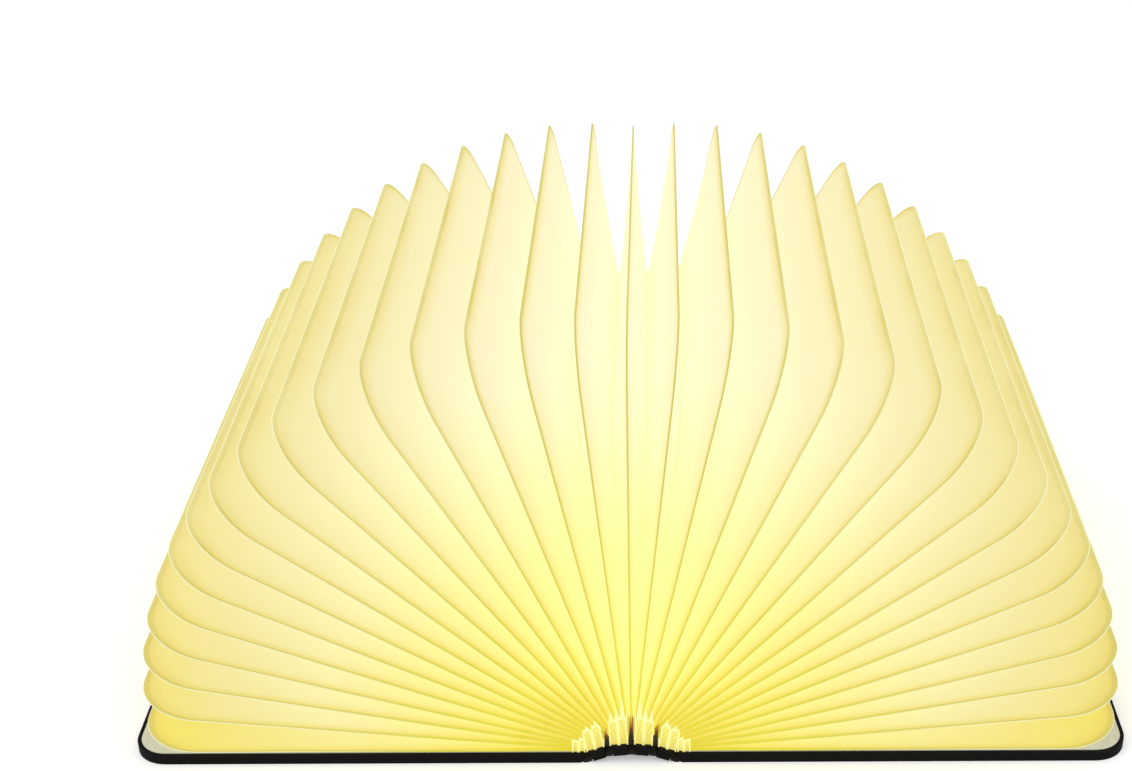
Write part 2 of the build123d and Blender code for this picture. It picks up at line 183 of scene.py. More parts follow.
def walnutFinish(name, halfWidth, centreX, halfLength):
    finish, tree, shader = newFinish(name)
    longGrain = objectPlace(tree, (1, walnut["grainStretch"], 1))
    streaks = noise(tree, longGrain, **walnut["streaks"])
    fibres = noise(tree, longGrain, **walnut["fibres"])
    pores = noise(tree, objectPlace(tree, (1, walnut["poreStretch"], 1)), **walnut["pores"])
    inPore = product(tree, calc(tree, "GREATER_THAN", pores, walnut["poreLevel"]), walnut["poreShare"])
    colour = ramp(tree, streaks, walnut["streakTints"])
    colour = mixColour(tree, product(tree, fibres, walnut["fibreShare"]), colour, walnut["dark"])
    colour = mixColour(tree, inPore, colour, walnut["pore"])
    # distance to the board's rounded outline: the corner radius less how far past the corner's
    # centre a point lies; the board is burnt near its outline and on faces that stand upright
    where = addNode(tree, "ShaderNodeTexCoord")
    spot = addNode(tree, "ShaderNodeSeparateXYZ", inputs={"Vector": where.outputs["Object"]})
    normal = addNode(tree, "ShaderNodeSeparateXYZ", inputs={"Vector": where.outputs["Normal"]})
    squares = []
    for axis, centre, half in (("X", centreX, halfWidth), ("Y", 0.0, halfLength)):
        away = calc(tree, "ABSOLUTE", calc(tree, "SUBTRACT", spot.outputs[axis], centre))
        past = calc(tree, "MAXIMUM", calc(tree, "SUBTRACT", away, half - walnut["cornerRadius"]), 0.0)
        squares.append(calc(tree, "POWER", past, 2.0))
    past = calc(tree, "SQRT", calc(tree, "ADD", *squares))
    rim = calc(tree, "SUBTRACT", walnut["cornerRadius"], past)
    upright = calc(tree, "LESS_THAN", calc(tree, "ABSOLUTE", normal.outputs["Z"]), walnut["uprightLevel"])
    burn = calc(tree, "MAXIMUM", upright, rise(tree, rim, *walnut["burnReach"]))
    roughness = calc(tree, "MULTIPLY_ADD", fibres, walnut["roughnessSpread"], walnut["roughness"])
    setInputs(tree, shader, Base_Color=mixColour(tree, burn, colour, walnut["burnt"]),
              Roughness=calc(tree, "MAXIMUM", roughness, burn), Specular_IOR_Level=walnut["specular"])
    bump(tree, shader, calc(tree, "SUBTRACT", fibres, inPore), walnut["bumpStrength"], walnut["bumpHeight"])
    return finish


coverLow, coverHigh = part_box("right_cover")
coverHalf = (coverHigh[0] - coverLow[0]) / 2
coverMiddle = (coverHigh[0] + coverLow[0]) / 2
for side, word in sideWord.items():
    boardFinish = walnutFinish(f"walnutCover.{word}", coverHalf, side * coverMiddle, coverHigh[1])
    dress(boardFinish, f"{word}_cover")
    for slat in ("inner", "outer"):
        low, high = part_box(f"{word}_{slat}_slat")
        boardFinish = walnutFinish(f"walnutSlat.{word}.{slat}", walnut["slatHalfWidth"],
                                   (low[0] + high[0]) / 2, coverHigh[1])
        dress(boardFinish, f"{word}_{slat}_slat")
print("walnut boards dressed")

# Cream sheet pasted inside each cover, with a faint mottle
pastedown = dict(tints=tints((0.3, 210, 212, 198), (0.7, 228, 229, 216)), grain=dict(scale=900.0, detail=3),
                 roughness=0.75, bumpStrength=0.2, bumpHeight=0.00008)


def pastedownFinish():
    finish, tree, shader = newFinish("pastedownPaper")
    grain = noise(tree, objectPlace(tree), **pastedown["grain"])
    colour = ramp(tree, grain, pastedown["tints"])
    setInputs(tree, shader, Base_Color=colour, Roughness=pastedown["roughness"])
    bump(tree, shader, grain, pastedown["bumpStrength"], pastedown["bumpHeight"])
    return finish


dress(pastedownFinish(), "left_pastedown", "right_pastedown")

# Drawn aluminium keel of the light bar: fine lines along the spine
keel = dict(tints=tints((0.3, 176, 178, 182), (0.7, 206, 207, 210)), stretch=0.01,
            grain=dict(scale=2600.0, detail=3), roughness=0.28, roughnessSpread=0.2,
            bumpStrength=0.15, bumpHeight=0.00005)


def brushedFinish():
    finish, tree, shader = newFinish("drawnAluminium")
    lines = noise(tree, objectPlace(tree, (1, keel["stretch"], 1)), **keel["grain"])
    roughness = calc(tree, "MULTIPLY_ADD", lines, keel["roughnessSpread"], keel["roughness"])
    setInputs(tree, shader, Base_Color=ramp(tree, lines, keel["tints"]), Roughness=roughness, Metallic=1.0)
    bump(tree, shader, lines, keel["bumpStrength"], keel["bumpHeight"])
    return finish


dress(brushedFinish(), "led_keel")

# Inside pieces with plain made surfaces: a slight mottle between two near colours, fine orange peel
madeSurfaces = (
    ("solderMaskWhite", ["led_strip"],
     dict(pale=(226, 226, 220), deep=(214, 214, 208), roughness=0.35)),
    ("magnetNickel", ["left_magnets", "right_magnets"],
     dict(pale=(196, 193, 186), deep=(176, 173, 168), roughness=0.18, grain=600.0, metallic=1.0)),
    ("batteryFoil", ["battery"],
     dict(pale=(158, 160, 166), deep=(138, 140, 147), roughness=0.3, grain=500.0, metallic=0.7, lift=0.3)),
    ("foamTape", ["battery_tape"],
     dict(pale=(40, 40, 41), deep=(24, 24, 25), roughness=0.85, grain=2400.0, lift=0.6)),
    ("solderMaskGreen", ["circuit_board"],
     dict(pale=(22, 92, 56), deep=(14, 74, 44), roughness=0.32)),
    ("chipBlack", ["circuit_parts", "fold_sensor"],
     dict(pale=(38, 38, 40), deep=(26, 26, 28), roughness=0.5)),
    ("copperShell", ["charge_socket"],
     dict(pale=(196, 122, 78), deep=(168, 98, 60), roughness=0.25, grain=800.0, metallic=1.0)),
)
litSurfaces = (
    ("litPhosphor", "led_chips",
     dict(pale=(255, 236, 150), deep=(255, 220, 110), strength=2.0, grain=900.0)),
    ("frostedDiffuser", "led_diffuser",
     dict(pale=(255, 247, 214), deep=(255, 240, 190), strength=1.2, grain=400.0)),
)
# what they share; deepAt and paleAt are where the two colours stand on the noise
surface = dict(deepAt=0.3, paleAt=0.7, detail=3, litDetail=2, roughnessSpread=0.12, litRoughness=0.5,
               bumpHeight=0.00005)


def mottled(tree, mottle, deep, pale):
    return ramp(tree, mottle, tints((surface["deepAt"], *deep), (surface["paleAt"], *pale)))


def madeFinish(name, pale, deep, roughness, grain=1500.0, metallic=0.0, lift=0.15):
    finish, tree, shader = newFinish(name)
    mottle = noise(tree, objectPlace(tree), grain, surface["detail"])
    setInputs(tree, shader, Base_Color=mottled(tree, mottle, deep, pale), Metallic=metallic,
              Roughness=calc(tree, "MULTIPLY_ADD", mottle, surface["roughnessSpread"], roughness))
    bump(tree, shader, mottle, lift, surface["bumpHeight"])
    return finish


def litFinish(name, pale, deep, strength, grain):
    finish, tree, shader = newFinish(name)
    tint = mottled(tree, noise(tree, objectPlace(tree), grain, surface["litDetail"]), deep, pale)
    setInputs(tree, shader, Base_Color=tint, Emission_Color=tint, Emission_Strength=strength,
              Roughness=surface["litRoughness"])
    return finish


for name, dressed, made in madeSurfaces:
    dress(madeFinish(name, **made), *dressed)
for name, node, lit in litSurfaces:
    dress(litFinish(name, **lit), node)
print("solid nodes dressed")

# Paper fan, seen along the spine: the spine's slopes, and the fold of each leaf from the middle
# one, 0, out to the one on the cover, 16; all in millimetres and degrees
fan = dict(
    slatPitch=8.0, board=3.6, innerTilt=5.0, outerTilt=20.0, coverWidth=162.0, halfLength=107.5,
    lining=0.3, rootGap=0.3, edgeInset=1.5, pleats=16, innerLeaf=4, outerLeaf=13, sag=3.4,
    cornerRadius=22.0, farCornerRadius=10.0, crownDrop=12.5, crownCurve=2.5, shoulderGain=0.8,
    foreBand=62.0, headBand=30.0, rootBand=8.0, rootHalfWidth=0.5, valleyRadius=20.0,
    flankCurve=1.18, valleyRounding=0.10, paperThickness=0.16,
    stationsEnd=16, stationsCorner=12, stationsFore=18, acrossFlank=12,
)


def outwards(tilt):
    # unit vector along a slope that falls by the tilt
    return np.array([math.cos(tilt), -math.sin(tilt)])


def upwards(tilt):
    # unit vector square to that slope
    return np.array([math.sin(tilt), math.cos(tilt)])


# A leaf's lean from the table falls in even steps from upright to flat, less a sag half-way out
stepsOut = np.arange(fan["pleats"] + 1)
shareOut = stepsOut / fan["pleats"]
lean = np.radians(90 * (1 - shareOut) - fan["sag"] * np.sin(np.pi * (1 - shareOut)) ** 2)
turned = np.pi / 2 - lean
innerTilt, outerTilt = math.radians(fan["innerTilt"]), math.radians(fan["outerTilt"])
spineRise = fan["slatPitch"] * (math.sin(innerTilt) + math.sin(outerTilt))
middleBend = np.array([0.0, fan["board"] / 2 + spineRise])
slatBend = middleBend + fan["slatPitch"] * outwards(innerTilt)
coverBend = np.array([slatBend[0] + fan["slatPitch"] * math.cos(outerTilt), fan["board"] / 2])
coverEdge = coverBend[0] + fan["coverWidth"]
boardTop = fan["board"] / 2 + fan["lining"]

# The bends of one side: what each joins, the board's tilt before and after it, and its leaves
bends = (
    dict(place="Middle", joins=("root", "inner"), at=middleBend, before=0.0, after=innerTilt,
         first=0, last=fan["innerLeaf"]),
    dict(place="Slat", joins=("inner", "outer"), at=slatBend, before=innerTilt, after=outerTilt,
         first=fan["innerLeaf"], last=fan["outerLeaf"]),
    dict(place="Cover", joins=("outer", "cover"), at=coverBend, before=outerTilt, after=0.0,
         first=fan["outerLeaf"], last=fan["pleats"]),
)


def turnOf(bend):
    return turned[bend["last"]] - turned[bend["first"]]


def crossed(first, second):
    return first[0] * second[1] - first[1] * second[0]


def leafOrigins():
    # each leaf passes a bend line at the distance that stacks the shut book evenly; origins are
    # then slid along their leaves until neighbours' origins are equally far from where they cross
    slatShut = fan["slatPitch"] * math.cos(turned[fan["innerLeaf"]] - innerTilt)
    coverShut = slatShut + fan["slatPitch"] * math.cos(turned[fan["outerLeaf"]] - outerTilt)
    shutReach = (0.0, slatShut, coverShut)
    found, crossings = [], [0.0]
    for step in stepsOut:
        bend, shut = next(pair for pair in zip(bends, shutReach) if step <= pair[0]["last"])
        inset = shut - (coverShut - boardTop - fan["rootGap"]) * shareOut[step]
        origin = bend["at"] + inset * upwards(-lean[step])
        if step:
            here, before = outwards(-lean[step]), outwards(-lean[step - 1])
            gap = origin - found[-1]
            alongBefore = crossed(gap, here) / crossed(before, here)
            alongHere = crossed(gap, before) / crossed(before, here)
            origin = origin + (alongHere - alongBefore) * here
            crossings.append(alongBefore)
        found.append(origin)
    return np.array(found), np.array(crossings)


def rootDistance():
    # along each leaf, from its origin to just above the lining of the slat below it
    found = []
    for bend in bends[:2]:
        height = boardTop + fan["rootGap"] - (origins - bend["at"]) @ upwards(bend["after"])
        found.append(height / np.sin(lean + bend["after"]))
    return np.minimum(*found)


# The fold's reach falls short by the crown's drop at the middle and gains a little at the shoulder
origins, crossings = leafOrigins()
rootReach = rootDistance()
leafReach = coverEdge - fan["edgeInset"] - abs(origins[-1][0])
valleyReach = leafReach - fan["foreBand"]
ridgeReach = (leafReach - fan["crownDrop"] * (1 - shareOut) ** fan["crownCurve"]
              + fan["shoulderGain"] * np.sin(np.pi * shareOut**2))


def uPath(reach, root, halfLength, radii, endLength):
    # U seen on the leaf: out along the far end, round a corner, along the fore-edge, and back along
    # the near end; straight runs are even steps, corners are arcs of the far and the near radius
    ends = np.linspace(0, 1, fan["stationsEnd"])
    arc = np.linspace(0, np.pi / 2, fan["stationsCorner"])
    fore = np.linspace(0, 1, fan["stationsFore"])[1:-1]
    halves = []
    for radius in radii:
        turnReach, turnLength = reach - radius, halfLength - radius
        endRun = np.stack([root + (turnReach - root) * ends, endLength + (halfLength - endLength) * ends])
        corner = np.stack([turnReach + radius * np.sin(arc), turnLength + radius * np.cos(arc)])
        halves.append(np.concatenate([endRun, corner[:, 1:]], axis=1))
    far, near = halfLength - np.array(radii)
    foreRun = np.stack([np.full_like(fore, reach), far - (far + near) * fore])
    return np.concatenate([halves[0], foreRun, halves[1][:, ::-1] * np.array([[1], [-1]])], axis=1)


# The paper starts where its two flanks stand rootHalfWidth from the leaf's own plane
leafHalfLength = fan["halfLength"] - fan["edgeInset"]
halfTurns = (lean[:-1] - lean[1:]) / 2
flankRoot = crossings[1:] + fan["rootHalfWidth"] / np.tan(halfTurns)
stepRoot = np.maximum(rootReach, np.maximum(np.append(flankRoot, 0), np.append(0, flankRoot)))
valleyPaths = np.array([
    uPath(valleyReach, max(flankRoot[step], rootReach[step]), leafHalfLength - fan["headBand"],
          (fan["valleyRadius"], fan["valleyRadius"]), leafHalfLength - fan["rootBand"])
    for step in stepsOut[:-1]
])
ridgePaths = np.array([
    uPath(ridgeReach[step], stepRoot[step], leafHalfLength, (fan["farCornerRadius"], fan["cornerRadius"]),
          leafHalfLength)
    for step in stepsOut
])


def onLeaf(side, step, reach, across, length):
    # point at a reach along the leaf, a distance across it towards the cover, a length along the spine
    x = origins[step][0] + reach * math.cos(lean[step]) + across * math.sin(lean[step])
    z = origins[step][1] + reach * math.sin(lean[step]) - across * math.cos(lean[step])
    return np.stack([side * x, length, z], axis=-1) * mm


def spineShare(points):
    # distance from the middle bend line over the leaf's reach
    return (np.hypot(points[..., 0], points[..., 2] - middleBend[1] * mm) / (leafReach * mm)).ravel()


def gridFaces(rows, columns, offset=0):
    # quads between neighbouring rows and columns of points
    index = np.arange(rows * columns).reshape(rows, columns) + offset
    corners = [index[:-1, :-1], index[1:, :-1], index[1:, 1:], index[:-1, 1:]]
    return np.stack(corners, axis=-1).reshape(-1, 4)


def oneFace(ring):
    return [ring.tolist()]


def tubeFaces(rows, columns, flip=False, cap=oneFace, offset=0):
    # quads between each ring of points and the next, and a cap on the first and the last ring
    ring = np.arange(rows * columns).reshape(rows, columns) + offset
    after = np.roll(ring, -1, axis=1)
    faces = np.stack([ring[:-1], ring[1:], after[1:], after[:-1]], axis=-1).reshape(-1, 4).tolist()
    faces += cap(ring[0]) + [face[::-1] for face in cap(ring[-1])]
    return [face[::-1] for face in faces] if flip else faces


def meshPiece(name, points, faces, finish, attributes=None, smooth=True):
    mesh = bpy.data.meshes.new(name)
    mesh.from_pydata(points.tolist(), [], [list(face) for face in faces])
    mesh.update()
    for key, values in (attributes or {}).items():
        layer = mesh.attributes.new(key, "FLOAT", "POINT")
        layer.data.foreach_set("value", np.asarray(values, np.float32))
    mesh.polygons.foreach_set("use_smooth", np.full(len(mesh.polygons), smooth))
    mesh.materials.append(finish)
    piece = bpy.data.objects.new(name, mesh)
    bpy.context.scene.collection.objects.link(piece)
    return piece


def thicken(piece, name, thickness):
    wall = piece.modifiers.new(name, "SOLIDIFY")
    wall.thickness, wall.offset = thickness * mm, 0.0


def bodiesOf(bend, side):
    return [name if name == "root" else f"{sideWord[side]}_{name}" for name in bend["joins"]]


def shareOfTurn(piece, share, bend, side):
    # a point's part of the turn between the two bodies, so that pleats share it out evenly
    start = (side * bend["at"][0] * mm, 0, bend["at"][1] * mm)
    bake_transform(piece, *bodiesOf(bend, side), start=start, end=(start[0] + side * mm, 0, start[2]))
    layer = piece.data.attributes["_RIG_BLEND"]
    layer.data.foreach_set("value", np.clip(share, 0, 1).astype(np.float32))


def shareByLean(piece, points, bend, side):
    # share = how far a point leans outwards, seen from the bend line, over the turn there
    x = side * points[:, 0] / mm - bend["at"][0]
    z = points[:, 2] / mm - bend["at"][1]
    shareOfTurn(piece, (np.arctan2(x, z) - bend["before"]) / turnOf(bend), bend, side)


# Lit pleat paper, its light painted as a glow: golden by the spine, lemon half-way, cream at the
# fore-edge; the doubled folds are painted darker, as they let less light through than the hollows
# between them. Pairs named Reach, Low, Depth are where an effect starts and where it is full: by
# distance from the spine, by how far the leaf lies down (0 upright, 1 on the cover), and by distance
# from the fold, in millimetres
paper = dict(
    body=(0.24, 0.23, 0.08, 1.0), glow=0.80, roughness=0.7, bumpStrength=0.12, bumpHeight=0.0001,
    clouds=dict(scale=26.0, detail=3), cloudShare=0.12, fibres=dict(scale=1400.0, detail=4, roughness=0.65),
    foldTints=tints((0.0, 240, 212, 60), (0.12, 244, 222, 76), (0.25, 248, 234, 108), (0.45, 244, 230, 148),
                    (0.65, 239, 227, 164), (0.85, 234, 223, 170), (1.0, 236, 226, 182)),
    hollowTints=tints((0.0, 250, 232, 104), (0.12, 253, 248, 142), (0.25, 254, 251, 156),
                      (0.45, 254, 251, 172), (0.65, 253, 249, 200), (0.85, 251, 246, 220),
                      (1.0, 250, 245, 228)),
    hollowGain=1.5, hollowCurve=0.85, outerReach=(0.62, 0.97714),
    paleTint=paint(252, 249, 238), paleShare=0.46, paleLow=(0.5, 0.0),
    goldenTint=paint(234, 215, 90), goldenShare=0.72, goldenLow=(0.19231, 0.96154),
    groundTint=paint(240, 222, 78), groundLow=(0.92857, 1.0), groundReach=(0.22222, 1.33333),
    # painted shade along each fold: a multiplier, its strength, and the depth and curve of its falloff
    foldShadeTint=(0.93, 0.79, 0.34, 1.0), foldShadeStrength=0.95, foldShadeDepth=(7.5, 0.0), foldShadeCurve=1.4,
    foreEdgeTint=paint(226, 214, 152), foreEdgeReach=(0.95, 1.02143), foreEdgeLow=(0.88571, 0.6),
    # painted shade of the dark line on each fold, by distance from the spine
    creaseShadeTints=tints((0.0, 220, 202, 16), (0.12, 222, 208, 22), (0.25, 220, 210, 34), (0.45, 206, 198, 52),
                      (0.65, 194, 184, 62), (0.93, 192, 180, 76), (0.99, 198, 186, 100)),
    creaseShadeDepth=(1.9, 0.0), creaseShadeCurve=0.5,
    rimTint=paint(255, 253, 220), rimShare=0.75, rimDepth=(0.0, -0.11111), rimReach=(0.40625, 0.71875),
    rimLow=(0.125, 0.375), fleckTint=paint(255, 255, 236), fleckShare=0.2, fleckLevel=0.45,
)


def paperFinish(name):
    finish, tree, shader = newFinish(name)
    low, depth, near = (attribute(tree, key) for key in ("lowShare", "foldDepth", "fromCrease"))
    fibre = noise(tree, objectPlace(tree), **paper["fibres"])
    cloud = calc(tree, "SUBTRACT", noise(tree, objectPlace(tree), **paper["clouds"]), 0.5)
    reach = calc(tree, "ADD", attribute(tree, "reachShare"), product(tree, cloud, paper["cloudShare"]))
    hollow = calc(tree, "MULTIPLY", depth, paper["hollowGain"], clamp=True)
    hollow = calc(tree, "POWER", hollow, paper["hollowCurve"])
    folded, between = ramp(tree, reach, paper["foldTints"]), ramp(tree, reach, paper["hollowTints"])
    lit = mixColour(tree, hollow, folded, between)
    # painted light by lean: the glow of upright leaves ends paler, of low leaves more golden, and the lowest
    # flanks are painted deep yellow
    outer = rise(tree, reach, *paper["outerReach"])
    pale = product(tree, outer, rise(tree, low, *paper["paleLow"]), paper["paleShare"])
    lit = mixColour(tree, pale, lit, paper["paleTint"])
    golden = product(tree, outer, rise(tree, low, *paper["goldenLow"]), paper["goldenShare"])
    lit = mixColour(tree, golden, lit, paper["goldenTint"])
    ground = product(tree, rise(tree, low, *paper["groundLow"]), rise(tree, reach, *paper["groundReach"]))
    lit = mixColour(tree, ground, lit, paper["groundTint"])
    # painted shade: the glow darkened to ochre in a band along the fold and to a dark line on the fold
    # itself, where the paper is doubled; both paler on a high leaf's fore-edge
    foreEdge = product(tree, rise(tree, reach, *paper["foreEdgeReach"]),
                       rise(tree, low, *paper["foreEdgeLow"]))
    foldShadeMask = calc(tree, "POWER", rise(tree, near, *paper["foldShadeDepth"]), paper["foldShadeCurve"])
    foldShadeMask = product(tree, foldShadeMask, paper["foldShadeStrength"], calc(tree, "SUBTRACT", 1.0, foreEdge))
    lit = mixColour(tree, foldShadeMask, lit, mixColour(tree, 1.0, lit, paper["foldShadeTint"], "MULTIPLY"))
    creaseShadeTint = mixColour(tree, foreEdge, ramp(tree, reach, paper["creaseShadeTints"]), paper["foreEdgeTint"])
    creaseShadeMask = calc(tree, "POWER", rise(tree, near, *paper["creaseShadeDepth"]), paper["creaseShadeCurve"])
    lit = mixColour(tree, creaseShadeMask, lit, creaseShadeTint)
    # the fold's nose catches light as a pale rim, on leaning leaves and away from the spine
    rim = product(tree, rise(tree, near, *paper["rimDepth"]), rise(tree, reach, *paper["rimReach"]),
                  rise(tree, low, *paper["rimLow"]), paper["rimShare"])
    lit = mixColour(tree, rim, lit, paper["rimTint"])
    flecks = calc(tree, "SUBTRACT", fibre, paper["fleckLevel"])
    flecks = calc(tree, "MULTIPLY", flecks, paper["fleckShare"], clamp=True)
    # painted light: the emission stands in for the light of the LEDs coming through the paper
    setInputs(tree, shader, Emission_Color=mixColour(tree, flecks, lit, paper["fleckTint"]),
              Emission_Strength=paper["glow"], Base_Color=paper["body"], Roughness=paper["roughness"])
    bump(tree, shader, fibre, paper["bumpStrength"], paper["bumpHeight"])
    return finish


pleatPaper, creasePaper = paperFinish("pleatPaper"), paperFinish("creasePaper")


def pleatGrid(side, step):
    # paper from the fold of one leaf down to the valley and out to the next leaf's fold.
    # depth runs 0 at a fold to 1 in the valley; reach and length go straight between the two
    # paths with the valley rounded, and the sheet leaves its leaf's plane as depth ** flankCurve
    depth = np.linspace(0, 1, fan["acrossFlank"])
    rounding = fan["valleyRounding"]
    level = 1 - (np.hypot(1 - depth, rounding) - rounding) / (math.hypot(1, rounding) - rounding)
    valley = valleyPaths[step]
    spread = math.tan(halfTurns[step]) * (valley[0] - crossings[step + 1])
    flanks, widths = [], []
    for leaf, sign in ((step, 1), (step + 1, -1)):
        ridge = ridgePaths[leaf]
        reach, length = ridge[:, :, None] + (valley - ridge)[:, :, None] * level
        across = sign * spread[:, None] * depth ** fan["flankCurve"]
        flanks.append(onLeaf(side, leaf, reach, across, length))
        widths.append(np.hypot(*(valley - ridge))[:, None] * depth)
    points = np.concatenate([flanks[0], flanks[1][:, -2::-1]], axis=1)
    fold = np.concatenate([depth, depth[-2::-1]])
    share = np.concatenate([depth / 2, 1 - depth[-2::-1] / 2])
    fromCrease = np.concatenate([widths[0], widths[1][:, -2::-1]], axis=1)
    return points, fold, share, fromCrease


def pleatPiece(side, bend):
    # all pleats of a bend in one piece, each point turning by its own share
    points, faces, shares = [], [], []
    shades = {"foldDepth": [], "reachShare": [], "fromCrease": [], "lowShare": []}
    for step in range(bend["first"], bend["last"]):
        grid, fold, across, fromCrease = pleatGrid(side, step)
        rows, columns = grid.shape[:2]
        turnHere = np.tile(turned[step] + (turned[step + 1] - turned[step]) * across, rows)
        faces.append(gridFaces(rows, columns, len(points) * rows * columns))
        points.append(grid.reshape(-1, 3))
        shades["foldDepth"].append(np.tile(fold, rows))
        shades["reachShare"].append(spineShare(grid))
        shades["fromCrease"].append(fromCrease.ravel())
        shades["lowShare"].append(turnHere / (np.pi / 2))
        shares.append((turnHere - turned[bend["first"]]) / turnOf(bend))
    faces = np.concatenate(faces)
    shades = {key: np.concatenate(values) for key, values in shades.items()}
    piece = meshPiece(f"pleats{bend['place']}.{sideWord[side]}", np.concatenate(points),
                      faces[:, ::-1] if side > 0 else faces, pleatPaper, shades)
    shareOfTurn(piece, np.concatenate(shares), bend, side)
    thicken(piece, "paperThickness", fan["paperThickness"])


for side in sideWord:
    for bend in bends:
        pleatPiece(side, bend)
print("pleats folded")

# Pressed crease on each leaf's outer fold, a doubled edge of the paper. Its profile is given as
# shares of the depth inwards from the fold and of the half width to each side
crease = dict(depth=1.5, half=0.25, nose=0.28, shoulder=0.15, trim=2,
              noseWidth=0.7, noseLength=0.6, middleWidth=1.05, middleDepth=0.5, heelWidth=0.9)


def creaseProfile():
    # one flank from the rounded nose to the heel, and the other flank back
    depth, half, nose = crease["depth"], crease["half"], crease["nose"]
    flank = np.array([
        (-crease["noseLength"] * nose, crease["noseWidth"] * half), (crease["shoulder"], half),
        (crease["middleDepth"] * depth, crease["middleWidth"] * half), (depth, crease["heelWidth"] * half),
    ])
    return np.concatenate([[(-nose, 0.0)], flank, flank[::-1] * (1, -1)])


def creasePiece(side, step):
    # the profile carried along the U path, from just above the gathers, turned towards the valley
    profile = creaseProfile()
    trimmed = slice(crease["trim"], -crease["trim"])
    ridge = ridgePaths[step][:, trimmed]
    inward = valleyPaths[min(step, fan["pleats"] - 1)][:, trimmed] - ridge
    inward = inward / np.hypot(*inward)
    reach, length = ridge[:, :, None] + inward[:, :, None] * profile[:, 0]
    points = onLeaf(side, step, reach, np.broadcast_to(profile[:, 1], reach.shape), length)
    rows, columns = reach.shape
    number = fan["pleats"] + side * step
    node = f"end_leaf_{sideWord[side]}" if step == fan["pleats"] else f"leaf_{number:02d}"
    shades = {"fromCrease": np.tile(profile[:, 0], rows), "reachShare": spineShare(points),
              "lowShare": np.full(rows * columns, turned[step] / (np.pi / 2))}
    faces = tubeFaces(rows, columns, flip=side < 0)
    piece = meshPiece(f"crease.{number:02d}", points.reshape(-1, 3), faces, creasePaper, shades)
    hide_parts(node)
    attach(piece, bodyOf[node])


for side in sideWord:
    for step in stepsOut[0 if side > 0 else 1:]:
        creasePiece(side, int(step))
print("creases pressed")

# Paper gathered into loops where it is glued to the spine, at both ends of the fan; by bend, a
# name, the width on the board and the height
gather = dict(
    sizes=dict(Middle=("gatherInner", 7.5, 12.0), Slat=("gatherOuter", 7.7, 10.0),
               Cover=("gatherCover", 5.6, 5.6)),
    loops=2, inset=0.8, loopDrop=0.08, loopFill=0.97, wall=0.5, coreShrink=0.4, coreBack=0.7,
    inside=91.0, outside=106.6, rows=7, upright=0.5, foot=0.05, crownPoints=13, legPoints=4,
    wallGlowTints=tints((0.0, 236, 222, 112), (0.25, 248, 246, 146), (0.8, 250, 249, 160), (1.0, 250, 248, 176)),
    coreGlowTints=tints((0.0, 226, 200, 62), (0.5, 243, 226, 84), (1.0, 248, 238, 104)),
    fibreTint=paint(255, 255, 230), fibreShare=0.2, glow=0.82,
)


def gatherPaperFinish():
    finish, tree, shader = newFinish("gatheredPaper")
    height = attribute(tree, "heightShare")
    fibre = noise(tree, objectPlace(tree), **paper["fibres"])
    # painted light and shade: the glow runs darker and more golden at the foot and in the recessed core,
    # paler towards the top
    rim, core = ramp(tree, height, gather["wallGlowTints"]), ramp(tree, height, gather["coreGlowTints"])
    tint = mixColour(tree, attribute(tree, "insideLoop"), rim, core)
    tint = mixColour(tree, product(tree, fibre, gather["fibreShare"]), tint, gather["fibreTint"])
    setInputs(tree, shader, Emission_Color=tint, Emission_Strength=gather["glow"], Base_Color=paper["body"],
              Roughness=paper["roughness"])
    bump(tree, shader, fibre, paper["bumpStrength"], paper["bumpHeight"])
    return finish


def rungs(ring):
    # cap of a symmetric outline: point i is joined to point n - 1 - i, from the feet to the top
    count = len(ring)
    low = np.arange(count // 2 - 1)
    faces = ring[np.stack([low, low + 1, count - 2 - low, count - 1 - low], axis=1)].tolist()
    return faces + ([ring[count // 2 - 1:count // 2 + 2].tolist()] if count % 2 else [])


def alongSpine(side, section, insideEnd, outsideEnd, rows):
    # a closed section carried straight along the spine at both ends of the fan, its ends capped
    lengths = np.linspace(insideEnd, outsideEnd, rows)[:, None]
    columns = len(section)
    points, faces = [], []
    for end in (-1, 1):
        parts = np.broadcast_arrays(side * section[:, 0], end * lengths, section[:, 1])
        points.append(np.stack(parts, axis=-1).reshape(-1, 3) * mm)
        faces += tubeFaces(rows, columns, end * side > 0, rungs, rows * columns * (end > 0))
    return np.concatenate(points), faces


def archOutline(centre, half, top):
    # half circle on two straight legs, from the left foot over the top to the right foot
    angle = np.linspace(0, np.pi, gather["crownPoints"])
    crown = np.stack([centre - half * np.cos(angle), top - half + half * np.sin(angle)], axis=1)
    legs = np.linspace(gather["foot"], top - half, gather["legPoints"] + 1)[:-1]
    left = np.stack([np.full(len(legs), centre - half), legs], axis=1)
    right = np.stack([np.full(len(legs), centre + half), legs[::-1]], axis=1)
    return np.concatenate([left, crown, right])


def standing(flat, at, tilt):
    # a flat outline stood on the board past a bend line, less slanted than the board's own normal
    foot = at + upwards(tilt) * boardTop
    return foot + flat[:, :1] * outwards(tilt) + flat[:, 1:] * upwards(tilt * gather["upright"])


